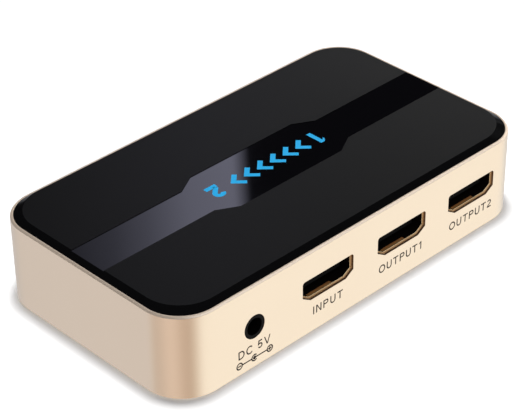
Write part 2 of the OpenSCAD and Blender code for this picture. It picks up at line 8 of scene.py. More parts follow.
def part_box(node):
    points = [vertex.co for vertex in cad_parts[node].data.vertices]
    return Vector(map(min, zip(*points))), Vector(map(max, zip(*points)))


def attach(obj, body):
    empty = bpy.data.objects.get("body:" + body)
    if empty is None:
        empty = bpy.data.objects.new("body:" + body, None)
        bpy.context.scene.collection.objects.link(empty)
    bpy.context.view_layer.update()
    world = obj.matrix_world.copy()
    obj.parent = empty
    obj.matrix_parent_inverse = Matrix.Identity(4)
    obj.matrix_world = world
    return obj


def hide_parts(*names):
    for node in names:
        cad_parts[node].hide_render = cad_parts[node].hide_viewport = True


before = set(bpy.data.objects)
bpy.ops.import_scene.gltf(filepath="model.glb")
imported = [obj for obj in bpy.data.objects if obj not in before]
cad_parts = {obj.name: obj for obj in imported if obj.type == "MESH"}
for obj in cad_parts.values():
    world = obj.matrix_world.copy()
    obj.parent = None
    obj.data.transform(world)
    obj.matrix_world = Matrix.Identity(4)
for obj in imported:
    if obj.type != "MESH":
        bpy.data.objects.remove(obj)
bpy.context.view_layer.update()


# Camera
# It looks down on the front left corner, as the photograph does. Its place and turn come from a fit to
# the panel's outline, the wall's lower edges and the corners of the cut-outs, in an image of 524 x 419.
MM = 0.001
image_w_px = 524
focal_px = 1954.17
sensor_w_mm = 36.0
camera_at = Vector((-247.45, -254.50, 248.91)) * MM
looks_at = Vector((2.2, 3.9, 6.7)) * MM
camera_roll = math.radians(-0.715)

camera = bpy.data.objects.new("camera", bpy.data.cameras.new("camera"))
camera.data.sensor_fit = "HORIZONTAL"
camera.data.sensor_width = sensor_w_mm
camera.data.lens = focal_px * sensor_w_mm / image_w_px
camera.data.clip_start = 0.01
turn = (looks_at - camera_at).to_track_quat("-Z", "Y").to_matrix() @ Matrix.Rotation(camera_roll, 3, "Z")
camera.matrix_world = Matrix.LocRotScale(camera_at, turn, None)
bpy.context.scene.collection.objects.link(camera)
bpy.context.scene.camera = camera
bpy.context.scene.view_settings.view_transform = "Standard"


# Case
# One drawn and blasted aluminium tub, champagne anodised, with the cut-outs milled through its front wall.
# Its edges are broken by a fine round, and its rim keeps the matt flat and chamfer that frame the panel.
# The sides of the socket cut-outs are painted dark brown as shade.
rim_high_mm = 0.37
wall_mm = 1.0
tub_round_mm = 0.08
cut_high_mm = 5.2
cut_margin_mm = 0.2
weld_mm = 0.001
flat_degrees = 0.2


def srgb(r, g, b):
    """A colour given in the 0 to 255 values of a picture, as the linear RGBA that a shader takes."""
    def linear(c):
        c /= 255
        return c / 12.92 if c <= 0.04045 else ((c + 0.055) / 1.055) ** 2.4
    return (linear(r), linear(g), linear(b), 1.0)


def grain_group():
    """Surface grain on Object coordinates: a fine grain, and a slow drift over the whole piece."""
    group = bpy.data.node_groups.new("surface_grain", "ShaderNodeTree")
    for name, value in (("Grain Per Metre", 9000.0), ("Drift Per Metre", 45.0)):
        group.interface.new_socket(name, in_out="INPUT", socket_type="NodeSocketFloat").default_value = value
    for name in ("Grain", "Drift"):
        group.interface.new_socket(name, in_out="OUTPUT", socket_type="NodeSocketFloat")
    nodes, links = group.nodes, group.links
    given = nodes.new("NodeGroupInput")
    result = nodes.new("NodeGroupOutput")
    place = nodes.new("ShaderNodeTexCoord")
    for name, scale, detail in (("Grain", "Grain Per Metre", 2.0), ("Drift", "Drift Per Metre", 3.0)):
        noise = nodes.new("ShaderNodeTexNoise")
        noise.inputs["Detail"].default_value = detail
        links.new(place.outputs["Object"], noise.inputs["Vector"])
        links.new(given.outputs[scale], noise.inputs["Scale"])
        links.new(noise.outputs["Fac"], result.inputs[name])
    return group


def wear_group():
    """Mask of the outer edges, broken up by noise, where a finish is rubbed thin first."""
    group = bpy.data.node_groups.new("edge_wear", "ShaderNodeTree")
    group.interface.new_socket("Amount", in_out="INPUT", socket_type="NodeSocketFloat").default_value = 0.5
    group.interface.new_socket("Mask", in_out="OUTPUT", socket_type="NodeSocketFloat")
    nodes, links = group.nodes, group.links
    given = nodes.new("NodeGroupInput")
    result = nodes.new("NodeGroupOutput")
    shape = nodes.new("ShaderNodeNewGeometry")
    edge = nodes.new("ShaderNodeMapRange")
    edge.inputs["From Min"].default_value = 0.52
    edge.inputs["From Max"].default_value = 0.62
    place = nodes.new("ShaderNodeTexCoord")
    noise = nodes.new("ShaderNodeTexNoise")
    noise.inputs["Scale"].default_value = 900.0
    noise.inputs["Detail"].default_value = 4.0
    rubbed = nodes.new("ShaderNodeMath")
    rubbed.operation = "MULTIPLY"
    share = nodes.new("ShaderNodeMath")
    share.operation = "MULTIPLY"
    links.new(shape.outputs["Pointiness"], edge.inputs["Value"])
    links.new(place.outputs["Object"], noise.inputs["Vector"])
    links.new(edge.outputs["Result"], rubbed.inputs[0])
    links.new(noise.outputs["Fac"], rubbed.inputs[1])
    links.new(rubbed.outputs["Value"], share.inputs[0])
    links.new(given.outputs["Amount"], share.inputs[1])
    links.new(share.outputs["Value"], result.inputs["Mask"])
    return group


surface_grain = grain_group()
edge_wear = wear_group()


def new_finish(name, dark, light, rough, grain_per_metre, bump_mm, metallic=0.0, wear=None, specular=0.5):
    """A material whose colour drifts from dark to light, with a grain in its roughness and its surface.
    rough is the lowest and highest roughness, and wear the colour of the rubbed edges and its amount."""
    material = bpy.data.materials.new(name)
    material.use_nodes = True
    nodes, links = material.node_tree.nodes, material.node_tree.links
    shader = nodes["Principled BSDF"]
    shader.inputs["Metallic"].default_value = metallic
    shader.inputs["Specular IOR Level"].default_value = specular
    grain = nodes.new("ShaderNodeGroup")
    grain.node_tree = surface_grain
    grain.inputs["Grain Per Metre"].default_value = grain_per_metre
    colour = nodes.new("ShaderNodeMix")
    colour.data_type = "RGBA"
    colour.inputs["A"].default_value = dark
    colour.inputs["B"].default_value = light
    links.new(grain.outputs["Drift"], colour.inputs["Factor"])
    tone = colour.outputs["Result"]
    if wear:
        mask = nodes.new("ShaderNodeGroup")
        mask.node_tree = edge_wear
        mask.inputs["Amount"].default_value = wear[1]
        rubbed = nodes.new("ShaderNodeMix")
        rubbed.data_type = "RGBA"
        rubbed.inputs["B"].default_value = wear[0]
        links.new(mask.outputs["Mask"], rubbed.inputs["Factor"])
        links.new(tone, rubbed.inputs["A"])
        tone = rubbed.outputs["Result"]
    links.new(tone, shader.inputs["Base Color"])
    roughness = nodes.new("ShaderNodeMapRange")
    roughness.inputs["To Min"].default_value = rough[0]
    roughness.inputs["To Max"].default_value = rough[1]
    links.new(grain.outputs["Grain"], roughness.inputs["Value"])
    links.new(roughness.outputs["Result"], shader.inputs["Roughness"])
    bump = nodes.new("ShaderNodeBump")
    bump.inputs["Strength"].default_value = 1.0
    bump.inputs["Distance"].default_value = bump_mm * MM
    links.new(grain.outputs["Grain"], bump.inputs["Height"])
    links.new(bump.outputs["Normal"], shader.inputs["Normal"])
    return material


def merged(node, whole_faces=True):
    """A CAD node's shape as one closed mesh: its loose triangles joined, and its flat faces made whole."""
    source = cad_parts[node].data
    mesh = bpy.data.meshes.new(node + "_shape")
    mesh.from_pydata([v.co for v in source.vertices], [], [p.vertices for p in source.polygons])
    shape = bmesh.new()
    shape.from_mesh(mesh)
    bmesh.ops.remove_doubles(shape, verts=shape.verts, dist=weld_mm * MM)
    if whole_faces:
        bmesh.ops.dissolve_limit(shape, angle_limit=math.radians(flat_degrees),
                                 verts=shape.verts, edges=shape.edges)
    shape.to_mesh(mesh)
    shape.free()
    return mesh


def as_mesh(piece):
    """Turn a piece's modifiers into plain mesh."""
    seen = piece.evaluated_get(bpy.context.evaluated_depsgraph_get())
    mesh = bpy.data.meshes.new_from_object(seen)
    piece.modifiers.clear()
    piece.data = mesh


def new_piece(name, mesh, *finishes):
    """An object in the scene for a mesh, with its materials."""
    piece = bpy.data.objects.new(name, mesh)
    bpy.context.scene.collection.objects.link(piece)
    for finish in finishes:
        mesh.materials.append(finish)
    return piece


def round_edges(piece, width_mm, segments=2, over_degrees=30):
    """Round every edge that turns by more than an angle, and shade the rest smooth."""
    piece.data.polygons.foreach_set("use_smooth", [True] * len(piece.data.polygons))
    bevel = piece.modifiers.new("edges", "BEVEL")
    bevel.width = width_mm * MM
    bevel.segments = segments
    bevel.limit_method = "ANGLE"
    bevel.angle_limit = math.radians(over_degrees)
    bevel.use_clamp_overlap = False
    bevel.harden_normals = True
    as_mesh(piece)


def stands_for(piece, node):
    """Let a finer piece of the case take a CAD node's place."""
    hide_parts(node)
    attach(piece, "case")


champagne = new_finish(
    "champagne_anodised", srgb(248, 229, 203), srgb(251, 233, 207), (0.25, 0.28), 14000.0, 0.0005,
    metallic=1.0)
champagne_rim = new_finish(
    "champagne_rim", srgb(240, 220, 199), srgb(247, 228, 207), (0.45, 0.55), 14000.0, 0.0005, metallic=0.6)
# Painted shade: the sides of the socket cut-outs get a dark brown finish that stands for the shade in them.
cut_edge_painted_shade = new_finish("cut_edge_painted_shade", srgb(108, 70, 38), srgb(128, 87, 50), (0.45, 0.55), 9000.0, 0.002)
tub = new_piece("case_tub", merged("housing"), champagne, champagne_rim, cut_edge_painted_shade)
round_edges(tub, tub_round_mm)
tub_low, tub_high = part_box("housing")
rim_z = tub_high.z
cut_outs = [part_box(socket + "_shell") for socket in ("input", "output1", "output2")]
cut_high, margin = cut_high_mm * MM, cut_margin_mm * MM
for face in tub.data.polygons:
    x, y, z = face.center
    if z > rim_z - rim_high_mm * MM:
        face.material_index = 1
    # The sides of the socket cut-outs in the front wall get the third material, painted dark brown as shade.
    elif y < tub_low.y + wall_mm * MM and abs(face.normal.y) < 0.5:
        if any(low.x - margin < x < high.x + margin and high.z - cut_high < z < high.z + margin
               for low, high in cut_outs):
            face.material_index = 2
stands_for(tub, "housing")


# Top panel
# A moulded black panel taped into the rim. Its field is satin, its bevel and the band along its middle are
# polished, and the band is let in by a tenth of a millimetre.
panel_low, panel_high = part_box("top_panel")
panel_corner_mm = 8.9
flat_corner_mm = 9.2
bevel_mm = 1.25
corner_steps = 24
band_half_mm = 5.05
band_mid_half_mm = 7.8
band_mid_x_mm = 15.2
band_step_mm = 5.0
band_sink_mm = 0.1
band_over_mm = 1.0
panel_round_mm = 0.12


def round_loop(half_w, half_d, radius, z):
    """Points round a rectangle with round corners, at one height."""
    points = []
    for sx, sy, start in ((1, 1, 0), (-1, 1, 90), (-1, -1, 180), (1, -1, 270)):
        for i in range(corner_steps + 1):
            a = math.radians(start + 90 * i / corner_steps)
            points.append((sx * (half_w - radius) + radius * math.cos(a),
                           sy * (half_d - radius) + radius * math.sin(a), z))
    return points


def loft(name, loops):
    """A closed mesh through loops of equally many points, from the lowest to the highest."""
    count = len(loops[0])
    faces = [tuple(reversed(range(count)))]
    for k in range(len(loops) - 1):
        for i in range(count):
            j = (i + 1) % count
            faces.append((k * count + i, k * count + j, (k + 1) * count + j, (k + 1) * count + i))
    faces.append(tuple(range((len(loops) - 1) * count, len(loops) * count)))
    mesh = bpy.data.meshes.new(name)
    mesh.from_pydata([p for loop in loops for p in loop], [], faces)
    return mesh


def prism(name, outline, low, high):
    """A closed mesh that stands on a flat outline."""
    return loft(name, [[(x, y, z) for x, y in outline] for z in (low, high)])


def dress(node, finish):
    """Give a CAD node that keeps its own shape a better material."""
    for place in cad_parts[node].material_slots:
        place.material = finish


satin = new_finish(
    "satin_black", srgb(15, 15, 15), srgb(18, 18, 18), (0.31, 0.35), 5000.0, 0.001, specular=0.25)
polished = new_finish(
    "polished_black", srgb(8, 8, 9), srgb(11, 11, 12), (0.12, 0.16), 2500.0, 0.0002, specular=0.03)
window = new_finish("band_window", srgb(2, 2, 3), srgb(3, 3, 4), (0.03, 0.05), 2500.0, 0.0001, specular=1.0)
half_w = (panel_high.x - panel_low.x) / 2
half_d = (panel_high.y - panel_low.y) / 2
bevel = bevel_mm * MM
panel_loops = [
    round_loop(half_w, half_d, panel_corner_mm * MM, panel_low.z),
    round_loop(half_w, half_d, panel_corner_mm * MM, rim_z),
    round_loop(half_w - bevel, half_d - bevel, flat_corner_mm * MM, panel_high.z),
]
panel = new_piece("top_panel_face", loft("top_panel_face", panel_loops), satin, polished, window)
for face in panel.data.polygons:
    face.material_index = 0 if face.normal.z > 0.9 else 1
round_edges(panel, panel_round_mm, segments=3, over_degrees=20)
step_x = band_mid_x_mm + band_step_mm
reach_x = half_w / MM + band_over_mm
band_points = [(-reach_x, -band_half_mm), (-step_x, -band_half_mm), (-band_mid_x_mm, -band_mid_half_mm),
               (band_mid_x_mm, -band_mid_half_mm), (step_x, -band_half_mm), (reach_x, -band_half_mm)]
band_points += [(-x, -y) for x, y in band_points]
band_z = panel_high.z - band_sink_mm * MM
band_waste = new_piece("band_waste", prism("band_waste", [(x * MM, y * MM) for x, y in band_points],
                                           band_z, panel_high.z + band_over_mm * MM), window)
let_in = panel.modifiers.new("band", "BOOLEAN")
let_in.object = band_waste
let_in.operation = "DIFFERENCE"
let_in.solver = "EXACT"
let_in.material_mode = "TRANSFER"
as_mesh(panel)
bpy.data.objects.remove(band_waste)
stands_for(panel, "top_panel")
foam = new_finish("adhesive_foam", srgb(72, 72, 74), srgb(92, 92, 95), (0.8, 0.95), 3000.0, 0.03)
dress("panel_tape", foam)


# Circuit board and the parts on it
# A green laminate held by four pan head screws below the deck, with the chip under its heat sink, the
# supply parts by the jack, and three lamps under the clear pipes that lead their light up to the panel.
solder_mask = new_finish("solder_mask", srgb(14, 74, 40), srgb(22, 96, 54), (0.28, 0.4), 1800.0, 0.006)
chip_resin = new_finish("chip_resin", srgb(24, 24, 25), srgb(34, 34, 35), (0.55, 0.7), 8000.0, 0.006)
silicone = new_finish("silicone_pad", srgb(150, 160, 168), srgb(172, 182, 190), (0.7, 0.85), 2500.0, 0.02)
grey_anodised = new_finish(
    "grey_anodised", srgb(118, 118, 122), srgb(140, 140, 144), (0.35, 0.45), 7000.0, 0.004, metallic=1.0,
    wear=(srgb(200, 200, 202), 0.5))
drawn_can = new_finish(
    "drawn_can", srgb(196, 196, 196), srgb(216, 216, 215), (0.2, 0.3), 5000.0, 0.003, metallic=1.0)
ferrite = new_finish("pressed_ferrite", srgb(46, 46, 48), srgb(64, 64, 66), (0.7, 0.85), 6000.0, 0.015)
ceramic = new_finish("fired_ceramic", srgb(150, 122, 92), srgb(182, 152, 118), (0.5, 0.65), 6000.0, 0.006)
lamp_resin = new_finish("lamp_resin", srgb(228, 224, 208), srgb(244, 240, 226), (0.25, 0.4), 4000.0, 0.003)
plated_steel = new_finish(
    "plated_steel", srgb(168, 168, 170), srgb(196, 196, 198), (0.22, 0.34), 6000.0, 0.003, metallic=1.0,
    wear=(srgb(225, 225, 226), 0.6))
clear_acrylic = new_finish(
    "clear_acrylic", srgb(240, 246, 250), srgb(250, 252, 254), (0.03, 0.07), 3000.0, 0.0005)
clear_acrylic.node_tree.nodes["Principled BSDF"].inputs["Transmission Weight"].default_value = 1.0
clear_acrylic.node_tree.nodes["Principled BSDF"].inputs["IOR"].default_value = 1.49
for finish, parts in (
    (solder_mask, ("main_board",)),
    (plated_steel, ("board_screws",)),
    (chip_resin, ("splitter_chip", "memory_chip", "regulator", "surge_arrays")),
    (silicone, ("thermal_pad",)),
    (grey_anodised, ("heat_sink",)),
    (drawn_can, ("crystal", "capacitors")),
    (ferrite, ("inductor",)),
    (ceramic, ("chip_capacitors",)),
    (lamp_resin, ("status_leds",)),
    (clear_acrylic, ("light_pipes",)),
):
    for part in parts:
        dress(part, finish)


# Sockets
# Each is a folded sheet shell with a gold flash, soldered to the board by four legs, round a black
# insulator whose tongue carries nineteen contacts. The press leaves the shell's mouth flared. Behind
# the flare the inside of the shell is painted near black as shade, but for the left part of its floor
# near the mouth, which is painted as lit. The lip has a painted dark line of shade at its front and a
# painted highlight on the flare's inner edge.
lip_deep_mm = 0.4
lip_wide_mm = 0.35
lit_floor_deep_mm = 1.3
lit_floor_share = 0.68
shell_round_mm = 0.03
gold = new_finish(
    "gold_flash", srgb(222, 184, 134), srgb(236, 202, 152), (0.28, 0.36), 6000.0, 0.002, metallic=1.0)
# Painted light: the inside finish, whose tones by depth paint a dark line of shade at the lip's front, a
# highlight line on the flare's inner edge and light on the near floor.
gold_inside_painted_light = new_finish(
    "gold_flash_inside_painted_light", srgb(236, 226, 214), srgb(255, 246, 236), (0.4, 0.5), 6000.0, 0.002, metallic=0.4)
# Painted shade: a near black copy of the gold flash for the inside of the shell behind the flare.
gold_shaded = new_finish(
    "gold_flash_shaded", srgb(12, 8, 4), srgb(18, 12, 7), (0.5, 0.6), 6000.0, 0.002, specular=0.1)
insulator_black = new_finish(
    "insulator_black", srgb(4, 4, 4), srgb(6, 6, 6), (0.5, 0.6), 7000.0, 0.004, specular=0.05)


def fill_ramp(ramp, stops):
    """Give a colour ramp its stops: places from 0 to 1, each with a colour."""
    while len(ramp.elements) < len(stops):
        ramp.elements.new(0.5)
    for stop, (place, colour) in zip(ramp.elements, stops):
        stop.position = place
        stop.color = colour


def fade_inward(finish, start_y, tones):
    """Tint a finish by the depth behind a plane along +Y: tones are depths in mm, each with a colour."""
    nodes, links = finish.node_tree.nodes, finish.node_tree.links
    shader = nodes["Principled BSDF"]
    tone = shader.inputs["Base Color"].links[0].from_socket
    place = nodes.new("ShaderNodeTexCoord")
    axis = nodes.new("ShaderNodeSeparateXYZ")
    depth = nodes.new("ShaderNodeMapRange")
    depth.inputs["From Min"].default_value = start_y
    depth.inputs["From Max"].default_value = start_y + tones[-1][0] * MM
    tint = nodes.new("ShaderNodeValToRGB")
    fill_ramp(tint.color_ramp, [(deep / tones[-1][0], colour) for deep, colour in tones])
    tinted = nodes.new("ShaderNodeMix")
    tinted.data_type = "RGBA"
    tinted.blend_type = "MULTIPLY"
    tinted.inputs["Factor"].default_value = 1.0
    links.new(place.outputs["Object"], axis.inputs["Vector"])
    links.new(axis.outputs["Y"], depth.inputs["Value"])
    links.new(depth.outputs["Result"], tint.inputs["Fac"])
    links.new(tone, tinted.inputs["A"])
    links.new(tint.outputs["Color"], tinted.inputs["B"])
    links.new(tinted.outputs["Result"], shader.inputs["Base Color"])


def cut_faces(shape, faces, at, way):
    """Part some faces of a shape along a plane. The shape stays as it is."""
    edges = dict.fromkeys(e for f in faces for e in f.edges)
    corners = dict.fromkeys(v for f in faces for v in f.verts)
    bmesh.ops.bisect_plane(shape, geom=[*corners, *edges, *faces], dist=weld_mm * MM / 10,
                           plane_co=at, plane_no=way)


def open_mouth(mesh):
    """Lean the inner edge at the front of a shell outwards. The lip and the near left part of the floor get
    the second material, painted with a highlight and as lit, and the rest of the inside the third, painted
    as shade."""
    shape = bmesh.new()
    shape.from_mesh(mesh)
    mouth_y = min(v.co.y for v in shape.verts)
    middle_x = sum(v.co.x for v in shape.verts) / len(shape.verts)
    cut_faces(shape, shape.faces[:], (0, mouth_y + lip_deep_mm * MM, 0), (0, 1, 0))
    front = [v for v in shape.verts if v.co.y - mouth_y < weld_mm * MM]
    mouth_z = [min(v.co.z for v in front), max(v.co.z for v in front)]
    middle_z = sum(mouth_z) / 2

    def looks_inward(face, place):
        return face.normal.dot(Vector((middle_x - place.x, 0, middle_z - place.z))) > 0

    moves = {}
    for v in front:
        inner = []
        for face in v.link_faces:
            if abs(face.normal.y) < 0.5 and looks_inward(face, v.co):
                if not any(face.normal.dot(n) > 0.999 for n in inner):
                    inner.append(face.normal.copy())
        if inner:
            lean = sum(inner, Vector())
            moves[v] = -lean * (lip_wide_mm * MM * len(inner) / lean.length_squared)
    floor_z = min(v.co.z for v in moves)
    floor_x = [v.co.x for v in moves if v.co.z - floor_z < weld_mm * MM]
    # The left part of the floor near the mouth is the part painted as lit.
    lit_x = min(floor_x) + lit_floor_share * (max(floor_x) - min(floor_x))
    for v, move in moves.items():
        v.co += move
    for at, way in (((0, mouth_y + lit_floor_deep_mm * MM, 0), (0, 1, 0)), ((lit_x, 0, 0), (1, 0, 0))):
        floor_faces = [f for f in shape.faces if f.normal.z > 0.99 and f.calc_center_median().z < middle_z]
        cut_faces(shape, floor_faces, at, way)
    shape.normal_update()
    # Inside faces: the lip and the lit floor part get the material with painted highlight and painted light,
    # the rest the one painted as shade.
    for face in shape.faces:
        middle = face.calc_center_median()
        if abs(face.normal.y) < 0.9 and looks_inward(face, middle) and mouth_z[0] < middle.z < mouth_z[1]:
            deep = middle.y - mouth_y
            lit = face.normal.z > 0.99 and deep < lit_floor_deep_mm * MM and middle.x < lit_x
            face.material_index = 1 if lit or deep < lip_deep_mm * MM else 2
    shape.to_mesh(mesh)
    shape.free()


# The tones by depth in mm: a painted dark line of shade, the lip's own tan, a painted highlight on the
# flare's inner edge, a darker band, then painted light on the floor behind it.
fade_inward(gold_inside_painted_light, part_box("input_shell")[0].y, (
    (0.0, srgb(115, 75, 39)), (0.09, srgb(115, 75, 39)),
    (0.14, srgb(214, 171, 116)), (0.28, srgb(214, 171, 116)),
    (0.33, srgb(255, 234, 188)), (0.42, srgb(255, 234, 188)),
    (0.48, srgb(158, 110, 64)), (0.7, srgb(255, 194, 122)), (lit_floor_deep_mm, srgb(232, 164, 100)),
))
for socket in ("input", "output1", "output2"):
    mesh = merged(socket + "_shell")
    open_mouth(mesh)
    shell = new_piece(socket + "_shell_folded", mesh, gold, gold_inside_painted_light, gold_shaded)
    round_edges(shell, shell_round_mm)
    stands_for(shell, socket + "_shell")
    dress(socket + "_insulator", insulator_black)
    dress(socket + "_contacts", gold)


# Power jack
# A moulded body in a notch of the board, whose round nose fills the hole in the wall, round a nickel pin
# and a spring that presses on the plug.
jack_round_mm = 0.1
black_plastic = new_finish(
    "moulded_black", srgb(6, 5, 4), srgb(9, 7, 6), (0.5, 0.6), 7000.0, 0.004, specular=0.08)
nickel = new_finish(
    "nickel", srgb(176, 172, 164), srgb(196, 192, 184), (0.2, 0.3), 6000.0, 0.002, metallic=1.0)
jack = new_piece("jack_body_moulded", merged("jack_body"), black_plastic)
round_edges(jack, jack_round_mm)
stands_for(jack, "jack_body")
for node in ("jack_pin", "jack_terminal", "jack_spring"):
    dress(node, nickel)


# Bottom cover
# A moulded black plate that closes the tub from below, with a round pocket for each foot and a
# countersink for each of the four screws that hold it.
cover_round_mm = 0.06
cover_plastic = new_finish("cover_texture", srgb(34, 34, 35), srgb(42, 42, 43), (0.55, 0.7), 2600.0, 0.03,
                           wear=(srgb(70, 70, 71), 0.4))
cover = new_piece("bottom_cover_moulded", merged("bottom_cover", whole_faces=False), cover_plastic)
round_edges(cover, cover_round_mm)
stands_for(cover, "bottom_cover")


# Feet
# Four round pads of black rubber with a rounded lower edge. They are glued into the pockets of the cover
# and stand a little proud of it.
feet_low, feet_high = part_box("rubber_feet")
foot_radius = 4 * MM
foot_round = 0.25 * MM
round_steps = 64
rubber = new_finish("foot_rubber", srgb(26, 26, 26), srgb(36, 36, 36), (0.75, 0.9), 4500.0, 0.02)


def new_tree(name, sizes):
    """An empty Geometry Nodes tree with a number for each size, a material and one geometry out."""
    tree = bpy.data.node_groups.new(name, "GeometryNodeTree")
    tree.interface.new_socket("Geometry", in_out="OUTPUT", socket_type="NodeSocketGeometry")
    for size in sizes:
        tree.interface.new_socket(size, in_out="INPUT", socket_type="NodeSocketFloat")
    tree.interface.new_socket("Finish", in_out="INPUT", socket_type="NodeSocketMaterial")
    return tree, tree.nodes.new("NodeGroupInput"), tree.nodes.new("NodeGroupOutput")


def math_node(tree, operation, *values):
    """A Math node whose values are numbers or the outputs of other nodes."""
    node = tree.nodes.new("ShaderNodeMath")
    node.operation = operation
    for place, value in zip(node.inputs, values):
        if isinstance(value, (int, float)):
            place.default_value = value
        else:
            tree.links.new(value, place)
    return node.outputs["Value"]


def at_four_corners(tree, given, result, shape):
    """Repeat a shape at the corners of a rectangle, at a height, as plain mesh with the given material."""
    nodes, links = tree.nodes, tree.links
    corners = nodes.new("GeometryNodeMeshGrid")
    corners.inputs["Vertices X"].default_value = 2
    corners.inputs["Vertices Y"].default_value = 2
    links.new(given.outputs["Spread X"], corners.inputs["Size X"])
    links.new(given.outputs["Spread Y"], corners.inputs["Size Y"])
    up = nodes.new("ShaderNodeCombineXYZ")
    links.new(given.outputs["Base Z"], up.inputs["Z"])
    lifted = nodes.new("GeometryNodeSetPosition")
    links.new(corners.outputs["Mesh"], lifted.inputs["Geometry"])
    links.new(up.outputs["Vector"], lifted.inputs["Offset"])
    repeated = nodes.new("GeometryNodeInstanceOnPoints")
    links.new(lifted.outputs["Geometry"], repeated.inputs["Points"])
    links.new(shape, repeated.inputs["Instance"])
    real = nodes.new("GeometryNodeRealizeInstances")
    links.new(repeated.outputs["Instances"], real.inputs["Geometry"])
    painted = nodes.new("GeometryNodeSetMaterial")
    links.new(real.outputs["Geometry"], painted.inputs["Geometry"])
    links.new(given.outputs["Finish"], painted.inputs["Material"])
    links.new(painted.outputs["Geometry"], result.inputs["Geometry"])


def feet_tree():
    """A round pad whose lower edge follows a quarter circle, repeated four times."""
    tree, given, result = new_tree("feet", (
        "Spread X", "Spread Y", "Base Z", "Radius", "Height", "Edge Round"))
    nodes, links = tree.nodes, tree.links
    rows = 7
    pad = nodes.new("GeometryNodeMeshCylinder")
    pad.inputs["Vertices"].default_value = round_steps
    pad.inputs["Side Segments"].default_value = rows
    pad.inputs["Radius"].default_value = 1.0
    pad.inputs["Depth"].default_value = rows
    where = nodes.new("GeometryNodeInputPosition")
    part = nodes.new("ShaderNodeSeparateXYZ")
    links.new(where.outputs["Position"], part.inputs["Vector"])
    row = math_node(tree, "ADD", part.outputs["Z"], rows / 2)
    curve_row = math_node(tree, "MINIMUM", row, rows - 1.0)
    angle = math_node(tree, "MULTIPLY", curve_row, math.pi / 2 / (rows - 1))
    less_sine = math_node(tree, "SUBTRACT", 1.0, math_node(tree, "SINE", angle))
    less_cosine = math_node(tree, "SUBTRACT", 1.0, math_node(tree, "COSINE", angle))
    edge = given.outputs["Edge Round"]
    inset = math_node(tree, "MULTIPLY", edge, less_sine)
    radius = math_node(tree, "SUBTRACT", given.outputs["Radius"], inset)
    curve_z = math_node(tree, "MULTIPLY", edge, less_cosine)
    is_top = math_node(tree, "GREATER_THAN", row, rows - 0.5)
    rise = math_node(tree, "MULTIPLY", is_top, math_node(tree, "SUBTRACT", given.outputs["Height"], edge))
    moved = nodes.new("ShaderNodeCombineXYZ")
    links.new(math_node(tree, "MULTIPLY", part.outputs["X"], radius), moved.inputs["X"])
    links.new(math_node(tree, "MULTIPLY", part.outputs["Y"], radius), moved.inputs["Y"])
    links.new(math_node(tree, "ADD", curve_z, rise), moved.inputs["Z"])
    shaped = nodes.new("GeometryNodeSetPosition")
    links.new(pad.outputs["Mesh"], shaped.inputs["Geometry"])
    links.new(moved.outputs["Vector"], shaped.inputs["Position"])
    at_four_corners(tree, given, result, shaped.outputs["Geometry"])
    return tree


def grown(name, tree, values, smooth_degrees=30):
    """The piece that a Geometry Nodes tree makes from its sizes, as plain mesh."""
    piece = new_piece(name, bpy.data.meshes.new(name))
    maker = piece.modifiers.new("maker", "NODES")
    maker.node_group = tree
    for socket in tree.interface.items_tree:
        if socket.in_out == "INPUT":
            maker[socket.identifier] = values[socket.name]
    as_mesh(piece)
    piece.data.polygons.foreach_set("use_smooth", [True] * len(piece.data.polygons))
    piece.data.set_sharp_from_angle(angle=math.radians(smooth_degrees))
    return piece


feet = grown("rubber_feet_round", feet_tree(), {
    "Spread X": feet_high.x - feet_low.x - 2 * foot_radius,
    "Spread Y": feet_high.y - feet_low.y - 2 * foot_radius,
    "Base Z": feet_low.z,
    "Radius": foot_radius,
    "Height": feet_high.z - feet_low.z,
    "Edge Round": foot_round,
    "Finish": rubber,
})
stands_for(feet, "rubber_feet")


# Cover screws
# Four countersunk screws of plated steel with a cross recess. They are turned up through the cover into
# the corner bosses of the tub.
screws_low, screws_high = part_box("cover_screws")
screw_head_radius = 2.3 * MM
screw_shank_radius = 1.25 * MM
screw_head_height = 1.2 * MM
recess_length = 3 * MM
recess_width = 0.5 * MM
recess_depth = 0.8 * MM
shank_steps = 48


